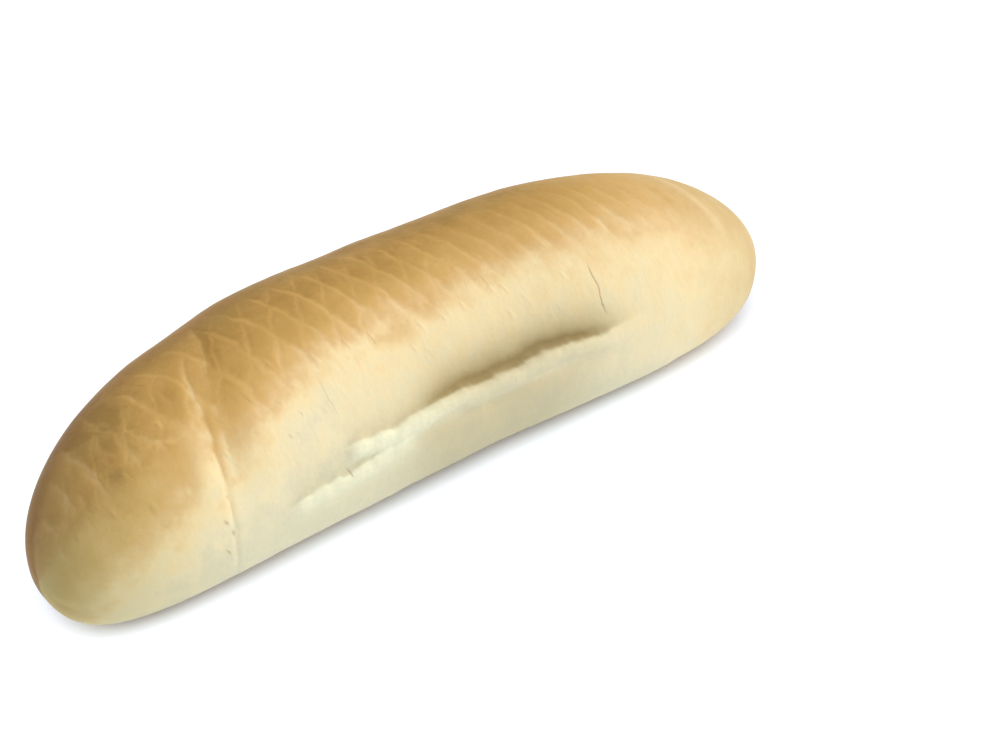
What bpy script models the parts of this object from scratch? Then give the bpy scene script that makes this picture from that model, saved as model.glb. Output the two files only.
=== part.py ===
"""A finger roll: a long, soft, white roll, baked whole on a flat tray.

The roll is one closed body. It lies along X on the plane Z = 0, with its more torn
flank towards -Y. Rings of points stand one behind the other along the roll, each
ring running once round the girth. Lengths are in millimetres, and the finished mesh
is scaled to metres once. Girth angles are in degrees: 0 is the back (+Y), 90 the
crown, 180 the front (-Y) and 270 the underside. "Along" is a place on X, and s is
the same place as a share of half the length, from -1 at the near end to +1.
"""
import bmesh
import bpy
import numpy as np

METRES_PER_MM = 0.001

# Driving dimensions of the whole roll.
LENGTH = 160.0
WIDTH = 48.0
HEIGHT = 37.0
BELLY_HEIGHT = 13.7
BOW = 10.4
END_SWING = 2.4

# The plain form: (1 - |s|^a)^(1/b) for each outline, and the powers of the section.
PLAN_OUTLINE = (2.82, 2.36)
CROWN_OUTLINE = (3.92, 1.96)
FOOT_OUTLINE = (9.0, 2.2)
SECTION_ABOVE = 2.15
SECTION_BELOW = 2.5
FAR_END_WIDER = 0.055
FAR_END_TALLER = 0.011
PRESSED_FLAT = 1.06

# Swells and hollows of the dough: along, girth angle, height, reach along, reach round.
SWELLS = (
    (12.0, 80.0, -0.65, 12.0, 70.0),
    (36.0, 80.0, 0.30, 12.0, 60.0),
    (-26.0, 75.0, 0.35, 9.0, 45.0),
    (-6.0, 75.0, -0.35, 8.0, 45.0),
    (-60.0, 110.0, 0.25, 8.0, 40.0),
    (-15.0, 205.0, 0.40, 22.0, 20.0),
    (34.0, 210.0, 0.30, 18.0, 22.0),
    (20.0, 5.0, 0.45, 24.0, 25.0),
    (-30.0, 350.0, 0.35, 18.0, 25.0),
    (55.0, 130.0, 0.25, 10.0, 30.0),
    (6.0, 154.0, -1.10, 17.0, 9.0),
    (-3.0, 177.0, 0.25, 9.0, 4.5),
    (-45.0, 131.0, -0.25, 2.6, 9.0),
    (-54.0, 141.0, 0.30, 3.0, 9.0),
)

# The pinched crease where the dough was folded, near one end. It leans over the crown,
# and its two lips run together on the flank. Spans are girth angles: start, end and fade.
CREASE_ALONG = -50.5
CREASE_LEAN = 10.0
CREASE_LEAN_ANGLE = 55.0
CREASE_LEAN_REACH = 55.0
CREASE_GAP = 1.5
CREASE_GAP_WIDER = 0.9
CREASE_GAP_WIDENS = (100.0, 8.0)
CREASE_LIP = 0.26
CREASE_LIP_HALF_WIDTH = 0.8
CREASE_LEFT_LIP_SPAN = (91.0, 144.0, 6.0)
CREASE_RIGHT_LIP_SPAN = (80.0, 110.0, 6.0)
CREASE_RIGHT_LIP_SHARE = 0.8
CREASE_SLOPE = 0.28
CREASE_SLOPE_OFFSET = 2.0
CREASE_SLOPE_HALF_WIDTH = 1.9
CREASE_SLOPE_SPAN = (94.0, 150.0, 9.0)
CREASE_GROOVE = 0.30
CREASE_GROOVE_HALF_WIDTH = 0.9
CREASE_GROOVE_SPAN = (76.0, 157.0, 8.0)
CREASE_WAIST = 0.45
CREASE_WAIST_REACH = 8.0
CREASE_WAIST_SPAN = (20.0, 170.0, 22.0)
CREASE_TAIL_DEPTH = 0.24
CREASE_TAIL_SPAN = (138.0, 204.0, 8.0)

# The low ridge across the crown near the other end.
RIDGE_ALONG = 62.0
RIDGE_LEAN = 0.06
RIDGE_HEIGHT = 0.45
RIDGE_HALF_WIDTH = 1.5
RIDGE_SPAN = (55.0, 135.0, 12.0)

# The tears where the flanks burst in the oven, each with the crust's edge hanging over a
# shelf of torn crumb: start and its fade, end and its fade; the girth angle of the edge
# and how that rises per mm; the wander of the edge in degrees and its wave length; the
# hollow above the edge (depth, reach in degrees, where it deepens); the shelf below it
# (height, width in degrees, softness of its lower side); and +1 where the shelf lies at
# greater angles, else -1. The first two are on the front and the last is on the back.
TEARS = (
    ((-27.0, 1.6, 30.0, 5.0), (161.3, 0.0), (0.9, 23.0), (1.70, 9.0, -9.0), (0.85, 8.4, 2.0), 1),
    ((-39.0, 2.0, -14.0, 3.0), (172.4, -0.17), (0.8, 15.0), (0.22, 4.0, -60.0), (0.55, 8.0, 6.0), 1),
    ((-25.0, 3.0, 24.0, 5.0), (17.0, -0.04), (1.3, 27.0), (1.00, 8.0, -60.0), (0.75, 8.0, 2.5), -1),
)
TEAR_EDGE = 1.5
TEAR_SHALLOW = 0.12
TEAR_DEEPENS_OVER = 7.0
TEAR_SOFTENS = (-13.0, 4.0, 3.0)
UNDER_SHELF = 0.35
UNDER_SHELF_PLACE = 1.25
UNDER_SHELF_REACH = 0.4
SHELF_FADES = (2.2, 0.5)

# The small fold at the foot of the near end.
FOLD_ALONG = -78.4
FOLD_ANGLE = 203.0
FOLD_DEPTH = 1.5
FOLD_REACH = (2.2, 8.0)

# The mesh: rings along the roll, points round each, and where both draw closer.
RINGS = 92
POINTS_ROUND = 62
RING_CROWDING = ((-50.5, 4.5, 3.2), (-27.0, 3.0, 0.8), (62.0, 4.0, 0.8), (-80.0, 9.0, 1.5), (80.0, 9.0, 1.5))
RING_LEAN_REACH = 14.0
POINT_CROWDING = ((165.0, 11.0, 2.6), (16.0, 10.0, 1.4))
SAMPLES = 4000

CRUST_COLOUR = (0.66, 0.42, 0.17, 1.0)
CRUST_ROUGHNESS = 0.55


def bell(distance, reach):
    """1 at no distance, falling off smoothly past the reach."""
    return np.exp(-((distance / reach) ** 2))


def rise(distance, edge):
    """0 well before an edge and 1 well past it."""
    return 0.5 * (1.0 + np.tanh(distance / edge))


def between(value, start, end, fade):
    """1 from start to end, fading to 0 outside them."""
    return rise(value - start, fade) * rise(end - value, fade)


def angle_from(angle, centre):
    """The difference of two girth angles, the short way round."""
    return (angle - centre + 180.0) % 360.0 - 180.0


def crowded(low, high, count, crowding, closed):
    """Places from low to high that draw closer together round each crowding centre."""
    fine = np.linspace(low, high, SAMPLES)
    density = np.ones_like(fine)
    for centre, reach, strength in crowding:
        density += strength * bell(fine - centre, reach)
    total = np.concatenate(([0.0], np.cumsum(0.5 * (density[1:] + density[:-1]))))
    shares = np.arange(count) / count if closed else (np.arange(count) + 0.5) / count
    return np.interp(shares * total[-1], total, fine)


def outline(share, powers):
    """How full the roll is at a share of its half length, from 1 down to 0 at the tip."""
    inner, outer = powers
    return (1.0 - np.abs(share) ** inner) ** (1.0 / outer)


def swells(along, angle):
    """The uneven rise of the dough."""
    total = 0.0
    for centre, centre_angle, height, reach_along, reach_round in SWELLS:
        near = bell(along - centre, reach_along)
        total = total + height * near * bell(angle_from(angle, centre_angle), reach_round)
    return total


def crease_lean(angle):
    """How far the crease lies from its lowest place along the roll, at a girth angle."""
    return CREASE_LEAN * bell(angle_from(angle, CREASE_LEAN_ANGLE), CREASE_LEAN_REACH)


def crease(along, angle):
    """The pinched crease, its two lips, the waist round it and its thin tail."""
    off = along - (CREASE_ALONG + crease_lean(angle))
    turn = angle_from(angle, 90.0) + 90.0
    widens, fade = CREASE_GAP_WIDENS
    gap = CREASE_GAP + CREASE_GAP_WIDER * rise(widens - turn, fade)
    lips = bell(off + gap, CREASE_LIP_HALF_WIDTH) * between(turn, *CREASE_LEFT_LIP_SPAN)
    right = bell(off - gap, CREASE_LIP_HALF_WIDTH) * between(turn, *CREASE_RIGHT_LIP_SPAN)
    lips = CREASE_LIP * (lips + CREASE_RIGHT_LIP_SHARE * right)
    slope = bell(off + gap + CREASE_SLOPE_OFFSET, CREASE_SLOPE_HALF_WIDTH)
    slope = CREASE_SLOPE * slope * between(turn, *CREASE_SLOPE_SPAN)
    groove = CREASE_GROOVE * bell(off, CREASE_GROOVE_HALF_WIDTH)
    groove = groove * between(turn, *CREASE_GROOVE_SPAN)
    waist = CREASE_WAIST * bell(off, CREASE_WAIST_REACH) * between(turn, *CREASE_WAIST_SPAN)
    tail = CREASE_TAIL_DEPTH * bell(off, CREASE_GROOVE_HALF_WIDTH)
    tail = tail * between(turn, *CREASE_TAIL_SPAN)
    return lips + slope - groove - waist - tail


def ridge(along, angle):
    """The low ridge across the crown."""
    turn = angle_from(angle, 90.0)
    off = along - (RIDGE_ALONG + RIDGE_LEAN * turn)
    return RIDGE_HEIGHT * bell(off, RIDGE_HALF_WIDTH) * between(turn + 90.0, *RIDGE_SPAN)


def tear(along, angle, span, line, wander, above, below, way):
    """One burst flank: the crust curls in above its edge and the crumb swells below it."""
    start, start_fade, end, end_fade = span
    line_angle, slope = line
    swing, wave = wander
    wandering = swing * np.sin(2.0 * np.pi * along / wave)
    edge = line_angle + slope * (along - 0.5 * (start + end)) + wandering
    past = way * angle_from(angle, edge)
    depth, reach, deepens = above
    deeper = rise(along - deepens, TEAR_DEEPENS_OVER)
    depth = depth * (TEAR_SHALLOW + (1.0 - TEAR_SHALLOW) * deeper)
    hollow = -depth * np.exp(-np.abs(past) / reach)
    height, width, softness = below
    softens, over, softer = TEAR_SOFTENS
    softness = softness + softer * rise(along - softens, over)
    shelf = rise(width - past, softness)
    dip = UNDER_SHELF * bell(past - UNDER_SHELF_PLACE * width, UNDER_SHELF_REACH * width)
    fades, fade = SHELF_FADES
    shelf = height * (shelf - dip) * rise(fades * width - past, fade * width)
    side = rise(past, TEAR_EDGE)
    here = rise(along - start, start_fade) * rise(end - along, end_fade)
    return (hollow * (1.0 - side) + shelf * side) * here


def fold(along, angle):
    """The small fold at the foot of the near end."""
    reach_along, reach_round = FOLD_REACH
    near = bell(along - FOLD_ALONG, reach_along)
    return -FOLD_DEPTH * near * bell(angle_from(angle, FOLD_ANGLE), reach_round)


def relief(along, angle):
    """Everything that stands proud of the plain form or is sunk into it."""
    total = swells(along, angle) + crease(along, angle) + ridge(along, angle)
    total = total + fold(along, angle)
    for sizes in TEARS:
        total = total + tear(along, angle, *sizes)
    return total


def roll_surface(along, angle):
    """Points of the crust, in millimetres, for places along the roll and girth angles."""
    share = 2.0 * along / LENGTH
    half_width = 0.5 * WIDTH * outline(share, PLAN_OUTLINE) * (1.0 + FAR_END_WIDER * share)
    crown = (HEIGHT - BELLY_HEIGHT) * outline(share, CROWN_OUTLINE)
    crown = crown * (1.0 + FAR_END_TALLER * share)
    foot = BELLY_HEIGHT * PRESSED_FLAT * outline(share, FOOT_OUTLINE)

    across = np.cos(np.radians(angle))
    upward = np.sin(np.radians(angle))
    power = np.where(upward >= 0.0, SECTION_ABOVE, SECTION_BELOW)
    half_height = np.where(upward >= 0.0, crown, foot)
    radius = (np.abs(across) ** power + np.abs(upward) ** power) ** (-1.0 / power)
    across = across * radius
    upward = upward * radius

    out_y = np.sign(across) * np.abs(across) ** (power - 1.0) / half_width
    out_z = np.sign(upward) * np.abs(upward) ** (power - 1.0) / half_height
    steepness = np.hypot(out_y, out_z)
    proud = relief(along, angle) * outline(share, PLAN_OUTLINE)

    spine = BOW * (1.0 - share ** 2) + END_SWING * share ** 3
    y = spine + half_width * across + proud * out_y / steepness
    z = BELLY_HEIGHT + half_height * upward + proud * out_z / steepness
    return along, y, np.maximum(z, 0.0)


def ring_points():
    """All ring points as an array of rings by points by three, in millimetres."""
    along = crowded(-0.5 * LENGTH, 0.5 * LENGTH, RINGS, RING_CROWDING, closed=False)
    angle = crowded(0.0, 360.0, POINTS_ROUND, POINT_CROWDING, closed=True)
    along, angle = np.meshgrid(along, angle, indexing="ij")
    along = along + crease_lean(angle) * bell(along - CREASE_ALONG, RING_LEAN_REACH)
    return np.stack(roll_surface(along, angle), axis=-1)


def tip(side):
    """The last point of the roll at one end, side being -1 or +1."""
    return np.array((0.5 * LENGTH * side, END_SWING * side, BELLY_HEIGHT))


def crust_material():
    """Golden crust, with neither shine nor pattern: a stand-in colour for the solid."""
    material = bpy.data.materials.new("crust")
    material.use_nodes = True
    shader = material.node_tree.nodes["Principled BSDF"]
    shader.inputs["Base Color"].default_value = CRUST_COLOUR
    shader.inputs["Roughness"].default_value = CRUST_ROUGHNESS
    shader.inputs["Metallic"].default_value = 0.0
    material.diffuse_color = CRUST_COLOUR
    return material


def roll_mesh():
    """The closed skin of the roll, centred over the origin and standing on Z = 0."""
    rings = ring_points()
    near_tip = tip(-1)
    far_tip = tip(1)
    everything = np.concatenate((rings.reshape(-1, 3), near_tip[None], far_tip[None]))
    middle = 0.5 * (everything.min(axis=0) + everything.max(axis=0))
    middle[2] = 0.0

    skin = bmesh.new()

    def place(point):
        return skin.verts.new((point - middle) * METRES_PER_MM)

    rows = [[place(point) for point in ring] for ring in rings]
    near_end = place(near_tip)
    far_end = place(far_tip)
    for k in range(POINTS_ROUND):
        after = (k + 1) % POINTS_ROUND
        for row, next_row in zip(rows, rows[1:]):
            skin.faces.new((row[k], next_row[k], next_row[after], row[after]))
        skin.faces.new((near_end, rows[0][k], rows[0][after]))
        skin.faces.new((far_end, rows[-1][after], rows[-1][k]))
    bmesh.ops.recalc_face_normals(skin, faces=skin.faces)
    mesh = bpy.data.meshes.new("finger_roll")
    skin.to_mesh(mesh)
    skin.free()
    mesh.shade_smooth()
    return mesh


def main():
    for old in list(bpy.data.objects):
        bpy.data.objects.remove(old, do_unlink=True)
    mesh = roll_mesh()
    mesh.materials.append(crust_material())
    roll = bpy.data.objects.new("finger_roll", mesh)
    bpy.context.scene.collection.objects.link(roll)


main()
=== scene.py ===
import math

import bpy
from mathutils import Matrix, Vector

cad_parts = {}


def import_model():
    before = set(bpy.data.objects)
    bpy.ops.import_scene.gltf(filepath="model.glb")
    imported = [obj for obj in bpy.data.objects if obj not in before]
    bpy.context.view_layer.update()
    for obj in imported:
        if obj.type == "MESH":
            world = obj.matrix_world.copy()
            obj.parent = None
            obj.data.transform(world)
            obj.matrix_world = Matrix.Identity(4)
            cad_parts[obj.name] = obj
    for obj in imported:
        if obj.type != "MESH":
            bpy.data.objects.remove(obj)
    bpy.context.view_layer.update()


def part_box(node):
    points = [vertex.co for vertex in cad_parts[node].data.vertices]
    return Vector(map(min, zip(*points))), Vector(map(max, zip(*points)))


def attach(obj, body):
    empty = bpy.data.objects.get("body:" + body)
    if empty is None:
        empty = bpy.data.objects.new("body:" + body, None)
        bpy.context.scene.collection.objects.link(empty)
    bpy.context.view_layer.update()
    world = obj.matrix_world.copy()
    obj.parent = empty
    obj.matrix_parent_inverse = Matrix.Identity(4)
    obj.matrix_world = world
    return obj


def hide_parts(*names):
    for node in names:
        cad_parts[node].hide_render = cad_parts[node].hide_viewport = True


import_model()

MM = 0.001

# The whole roll, as its solid has it. The middle of the plan is found from the solid's box.
ROLL_SIZES = {
    "Length": 160.0,
    "Width": 48.0,
    "Height": 37.0,
    "Belly height": 13.7,
    "Bow": 10.4,
    "End swing": 2.4,
    "Net depth": 0.09,
    "Seed": 4.0,
}
RINGS = 470
POINTS_ROUND = 204

# The plain form: (1 - |s|^a)^(1/b) for each outline, and the powers of the section.
PLAN_OUTLINE = (2.82, 2.36)
CROWN_OUTLINE = (3.92, 1.96)
FOOT_OUTLINE = (9, 2.2)
SECTION_ABOVE = 2.15
SECTION_BELOW = 2.5
FAR_END_WIDER = 0.055
FAR_END_TALLER = 0.011
PRESSED_FLAT = 1.06

# Swells and hollows of the dough: along, girth angle, height, reach along, reach round.
SWELLS = (
    (12, 80, -0.65, 12, 70),
    (36, 80, 0.3, 12, 60),
    (-26, 75, 0.35, 9, 45),
    (-6, 75, -0.35, 8, 45),
    (-60, 110, 0.25, 8, 40),
    (-15, 205, 0.4, 22, 20),
    (34, 210, 0.3, 18, 22),
    (20, 5, 0.45, 24, 25),
    (-30, 350, 0.35, 18, 25),
    (55, 130, 0.25, 10, 30),
    (6, 154, -1.1, 17, 9),
    (-3, 177, 0.25, 9, 4.5),
    (-45, 131, -0.25, 2.6, 9),
    (-54, 141, 0.3, 3, 9),
)

# A pair such as (100, 8) is a place and how softly something starts or ends there, and a
# span such as (94, 150, 9) is where it starts and ends, and how softly.

# Smooth unevenness of several kinds: the size of its patches, its own seed, its detail and
# how strong it is.
MOTTLES = {
    "tear edge": (4, 0, 2, 0.9),
    "lump shift": (8, 11, 1, 1.2),
    "lump": (7, 14, 1, 0.8),
    "small lump": (2.8, 16, 2, 0.4),
    "crumb": (1.8, 17, 3, 0.05),
    "swell": (11, 23, 2, 0.14),
    "dimple": (3.2, 31, 2, 0.03),
    "net wobble": (7, 41, 3, 1.2),
    "net faint": (4.5, 47, 2, 0.5),
    "brown edge": (6, 53, 3, 4.5),
    "crack": (1.8, 59, 1, 0.34),
    "patch": (5, 61, 4, 1),
    "speck": (1.2, 67, 2, 1),
    "grain": (0.7, 71, 3, 0.014),
    "streak": (1.4, 73, 3, 1),
    "crease": (3.4, 83, 2, 1),
    "gap": (6, 89, 1, 0.3),
    "blotch": (3.6, 97, 3, 2.6),
    "mark edge": (2.2, 101, 2, 0.45),
    "strip": (5.5, 107, 2, 1),
    "hue": (6.5, 113, 2, 1),
}

# An edge with one sharp side: how far it falls off past it, and how abruptly that starts.
SHARP_AFTER = 0.3
SHARP_TURN = 0.1

# The pinched crease near one end. It leans over the crown. A furrow with one sharp side
# runs along each of its two edges, further apart on the crown than lower down.
CREASE_ALONG = -50.5
CREASE_LEAN = 10
CREASE_LEAN_ANGLE = 55
CREASE_LEAN_REACH = 55
CREASE_GAP = 1.5
CREASE_GAP_WIDER = 0.9
CREASE_GAP_WIDENS = (100, 8)
CREASE_UNEVEN = 0.3
CREASE_LEFT_DEPTH = 0.22
CREASE_LEFT_SPAN = (91, 148, 6)
CREASE_LEFT_EDGE = (0.6, 0.4)
CREASE_LEFT_REACH = (0.8, 1.3)
CREASE_LEFT_WIDENS = (106, 8)
CREASE_RIGHT_DEPTH = 0.17
CREASE_RIGHT_SPANS = ((70, 104, 5), (118, 124, 1.5), (129, 149, 3))
CREASE_RIGHT_EDGE = (1.5, 0.9, 0.6)
CREASE_RIGHT_REACH = (0.9, 0.3)
CREASE_UPPER = (110, 5)
CREASE_LOWER = (118, 5)
CREASE_FURROW_UNEVEN = (0.8, 0.5)
# Slopes and hollows along the crease: how far left of its middle or of its left edge they
# lie, their reach, their span and how high or deep they are.
CREASE_SLOPE = (2, 1.9, (94, 150, 9), 0.14)
CREASE_TROUGH = (0, 1, (78, 140, 8), 0.1)
CREASE_TROUGH_WIDER = 0.3
CREASE_WAIST = (0, 8, (20, 170, 22), 0.45)
CREASE_TAIL = (0, 0.55, (138, 204, 7), 0.22)

# The low ridge across the crown near the other end.
RIDGE_ALONG = 62
RIDGE_LEAN = 0.06
RIDGE_HEIGHT = 0.45
RIDGE_HALF_WIDTH = 1.5
RIDGE_SPAN = (80, 135, 9)

# The tears of the flanks, each with the crust's edge hanging over a shelf of torn crumb:
# start and its fade, end and its fade; the girth angle of the edge and how that rises per
# mm; the wander of the edge in degrees and its wave length; the hollow above the edge
# (depth, reach, where it deepens); the shelf below it (height, width, softness of its
# lower side); and +1 where the shelf lies at greater angles, else -1.
TEARS = (
    ((-27, 0.9, 30, 5), (161.3, 0), (0.9, 23),
     (1.7, 9, -9), (0.85, 8.4, 2), 1),
    ((-39, 1.6, -14, 2.5), (172.4, -0.17), (0.8, 15),
     (0.22, 4, -60), (0.55, 8, 6), 1),
    ((-25, 3, 24, 5), (17, -0.04), (1.3, 27),
     (1, 8, -60), (0.75, 8, 2.5), -1),
)
TEAR_DEEPENS_OVER = 7
TEAR_SHALLOW = 0.12
TEAR_EDGE = 0.6
# Past this place the shelf's lower side is softer by so much, and its foot dips deeper.
SHELF_SOFTENS = (-13, 4)
SHELF_SOFTER = 1
SHELF_DIP = (0.35, 0.45)
SHELF_DIP_PLACE = (1.25, 0.4)
SHELF_ENDS = (2.2, 0.5)
SHELF_BARED_FADE = 2
# The rounded lumps along the near part of the tears, with clefts between them.
LUMP_LENGTH = 4.4
LUMPS_FROM = -27
LUMPS_END = (-14, 2.5)
LUMP_CLEFTS = 1.3
LUMP_MIDDLE = 0.6
LUMP_HEIGHT = 0.22
LUMP_EDGE = 0.55

# Where the skin's points lie closer together: centre, reach and pull, along and round.
CLOSER_ALONG = ((-47, 8, 3.2),)
CLOSER_ROUND = ((165, 14, 6), (16, 13, 5))

# The small fold at the foot of the near end.
FOLD_ALONG = -78.4
FOLD_ANGLE = 203
FOLD_DEPTH = 1.5
FOLD_REACH = (2.2, 8)

# The net of the crown: two sets of fine pale lines that cross. Lines per mm and how that
# grows along the roll, slant across the girth, half width and strength.
GIRTH_PER_DEGREE = 0.4
NET_ZONE = (74, 122, 6)
NET_STARTS_LATER = (8, 14)
NET_LATER_BY = 12
NET_SHIFT = 1.7
NET_FAINT = 0.55
NET_LONG = (0.2, 0.00044, -0.051, 0.52, 1)
NET_LONG_FAINT = (0.1, 1.2)
NET_SHORT = (0.188, 0.00036, 0.092, 0.45, 0.85)
NET_SHORT_FAINT = (1.35, -1.3)
NET_SHORT_ENDS = (8, 6)
NET_SHORT_WOBBLE = -1.2
NET_SHORT_WIDER = 0.5
NET_FAR_END = (46, 5)
NET_FAR_LESS = 0.5
NET_FURROW_WIDER = 0.15
NET_LINE_WIDER = 0.3
NET_LINE_WIDENS = (108, 8)
NET_LINE_RAGGED = (0.15, 0.18)

# The skin between two long lines is a scale, with a tone of its own. It is paler at its
# right edge than the next scale at its left one.
SCALE_EDGE = 0.3
SCALE_REACH = 1.7
SCALE_APART = 9.7
SCALE_SHIFT = (-20, 8)
SCALE_SHIFT_BY = (6, 3)

# Pale stretch marks of the near end: along, girth angles from and to, lean in mm per
# degree, half width and strength.
STRETCH_MARKS = (
    (-76.6, 82, 134, 0.004, 0.6, 0.7),
    (-72.9, 70, 112, -0.015, 0.6, 0.8),
    (-68.2, 64, 124, 0.006, 0.75, 1.1),
    (-72.3, 120, 133, 0, 0.45, 0.5),
    (-67.3, 113, 127, -0.06, 0.45, 0.5),
    (-63, 66, 85, 0, 0.55, 0.9),
    (-64.4, 85, 97, -0.1, 0.55, 0.8),
    (-64.4, 98, 106, 0.14, 0.45, 0.6),
    (-61.7, 110, 121, 0.045, 0.5, 0.9),
    (-55.8, 82, 93, 0.03, 0.42, 0.7),
    (-57.8, 89, 97, -0.24, 0.42, 0.6),
    (-55.1, 110, 114, 0.15, 0.38, 0.5),
)
# How far they reach before their sharp side, in half widths, how softly they end, how much
# they sway with the net, and how deep they are beside the net's lines.
MARK_BEFORE = 2.2
MARK_FADE = 5
MARK_WOBBLE = 0.45
MARK_DEEPER = 2.2

# The cells of the near end's wrinkled skin: their size, how they slant, how their borders
# wander, and half a wrinkle's width.
CELL_SIZE = 5.2
CELL_SLANT = (0.25, 0.5, 0.8)
CELL_WANDER = (1.9, 0.3, 0.5)
CELL_SPAN = (62, 128, 9)
WRINKLE_HALF_WIDTH = 0.62
WRINKLE_SPAN = (58, 128, 6)
WRINKLE_PATCHES = (0.45, 1.5)
WRINKLE_MORE = (98, 8)
WRINKLE_STRENGTH = (0.12, 0.5, 0.7)

# The places for small lifted flakes of skin: length, spacing, slant, wander, size and the
# share of the places that stay empty.
FLAKE_LENGTH = 6
FLAKE_SPACING = 2.3
FLAKE_SLANT = 0.3
FLAKE_WANDER = 0.15
FLAKE_SIZE = 0.18
FLAKE_EMPTY = (0.74, 0.01)
FLAKE_SPAN = (106, 148, 5)
FLAKE_ENDS = (30, 8)
FLAKE_BROWNED = (0.1, 2.4)

# Thin cracks and nicks: along, girth angles from and to, lean in mm per degree, half
# width and depth.
CRACKS = (
    (30.9, 132, 153, -0.015, 0.15, 1),
    (31.2, 149, 154, 0.06, 0.26, 0.8),
    (-27.6, 131, 147, 0.045, 0.1, 0.5),
    (-15, 125, 127.5, 0.03, 0.16, 0.7),
    (10.8, 119, 124.5, 0.02, 0.14, 0.7),
    (7.2, 118, 120.5, -0.06, 0.18, 0.6),
    (-27.6, 170.5, 175, 0.13, 0.18, 0.9),
    (-51.9, 166, 168.5, 0.12, 0.3, 1),
    (-50.9, 173, 175.5, 0.12, 0.32, 1.2),
    (-52.3, 182, 186, 0.09, 0.22, 0.9),
    (60, 81.5, 84, 0.2, 0.25, 0.7),
    (-63.5, 121.5, 123, 0.1, 0.2, 0.7),
    (-33.4, 139, 140.5, 0.1, 0.2, 0.8),
    (-36.7, 144.8, 145.9, 0.25, 0.3, 1),
    (-36.2, 130.8, 132, 0.25, 0.24, 0.7),
    (-32.3, 129, 130.2, 0.25, 0.22, 0.7),
    (-46.7, 124.6, 125.8, 0.2, 0.22, 0.7),
    (-32.1, 152.3, 153.3, 0.2, 0.22, 0.6),
    (-37.1, 156.2, 157.2, 0.2, 0.22, 0.5),
    (-22.9, 131, 132, 0.2, 0.2, 0.5),
    (-7.3, 140.8, 141.8, 0.2, 0.2, 0.5),
    (-50.5, 155.4, 156.8, 0.15, 0.24, 0.8),
)
# How far along a crack counts, and how softly it ends.
CRACK_REACH = 1.3
CRACK_FADE = 0.8

# Where the oven browned the crust: the girth angle at which half of the brown is gone, how
# softly it goes, and how both grow towards the near end.
BROWN_FRONT = 116
BROWN_SOFT = 21
BROWN_BACK = 40
BROWN_BACK_SOFT = 18
BROWN_GROWS_FROM = 0
BROWN_FRONT_GROWTH = 0.011
BROWN_SOFT_GROWTH = (74, 4, 28)
BROWN_TAIL = (0.1, 158, 12)
TAIL_GROWS = (-14, 8)
TAIL_GROWS_BY = (0.1, 12)
NEAR_LESS = ((-54, 4), 0.1)
FAR_LESS = ((44, 14), 0.25)
# A darker crown at the near end: partly browner crust, partly painted shade where the end faces
# away from the lamp.
NEAR_BAKE_AND_SHADE = ((-57, 5), (103, 10), 10, 0.2)
NEAR_TIP = (-76.5, 2.8)
NEAR_TIP_BAKE = 0.84
FAR_END = (53, 8)
FAR_END_BAKE = (0.34, 0.32)
FAR_END_FRONT = (138, 17)
FAR_END_BACK = (25, 20)
FAR_TIP = (71.5, 4)
FAR_TIP_BAKE = 0.6
# Paler patches: along, reach, girth angle, reach and how much paler, or browner below 0.
PALE_PATCHES = (
    (-35, 8, 142, 9, 0.2),
    (19, 14, 98, 17, 0.06),
    (17, 8, 121, 7, 0.12),
    (-40, 5, 98, 9, 0.05),
    (-27, 5, 113, 6, 0.08),
    (-45.5, 2.5, 108, 7, 0.07),
    (54, 5, 113, 8, -0.09),
    (73, 5, 108, 11, -0.16),
    (50, 20, 182, 26, -0.14),
    (-66, 6, 116, 9, -0.12),
    (-50, 4.5, 88, 12, 0.1),
    (-26, 7, 132, 8, 0.1),
    (10, 12, 132, 9, 0.07),
)

# How each detail changes the browning. Of two numbers, the first is for plain crust and
# the second is added in the fringe, where brown turns to cream.
FRINGE = (0.4, 0.25)
NEAR_END = (-53, 4)
PATCH_BAKE = (0.045, 0.06)
NEAR_PATCH_BAKE = 0.06
SPECK_BAKE = 0.015
STREAK_BAKE = (0.01, 0.03)
STREAK_STRETCH = (0.35, 0.3)
SCALE_STRETCH = 0.2
STREAK_FULLNESS = (-1.8, 3)
LINE_BAKE = (0.11, 0.04)
LINE_FAINTER = (((2, 10), 0.35), ((46, 5), 0.35))
STEP_BAKE = (0.032, 0.035)
STEP_FAINT = 1.4
STRIP_BAKE = (0.032, 0.045)
SCALE_FAINTER = (((0, 12), 0.3), ((46, 5), 0.45))
BLOTCH_BAKE = 0.055
BLOTCH_FRINGE = (0.36, 0.34)
BLOTCH_ENDS = (4, 14)
# A darker strip on the crown's back slope: partly browner crust, partly painted shade where it
# faces away from the lamp.
TOP_BAKE_AND_SHADE = 0.06
TOP_FROM = (20, 10)
TOP_TO = (69, 5)
WRINKLE_BAKE = 0.18
MARK_BAKE = 0.33
CELL_BAKE = 0.07
CELL_BORDER = 1.6
FLAKE_BAKE = 0.02
LIP_PINCHED = (0.68, 0.9, 0.25)
LIP_BAKE = (0.24, 0.13)
LIP_PALER = (106, 8)
UPPER_LIP_MORE = 0.5
# Beside the crease's left lip: a paler slope to its left, and a painted shadow just right of its
# sharp edge.
BESIDE_CREASE = (
    (2.2, 2.4, (116, 152, 9), 0.14),
    (-1.6, 0.6, (108, 148, 6), -0.06),
)
IN_CREASE = (0, 1, (80, 122, 8), 0.12)
IN_CREASE_WIDER = 0.8
RIGHT_OF_CREASE = (-3.9, 1.4, (72, 104, 5), -0.07)
TAIL_LINE = (0, 0.26, (138, 204, 7), 1)
TAIL_LINE_PINCHED = (-0.6, 1.5)
# How much darker the crease's tail line is: painted shade in its groove.
TAIL_LINE_SHADE = 0.06
RIDGE_BAKE = 0.16

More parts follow.
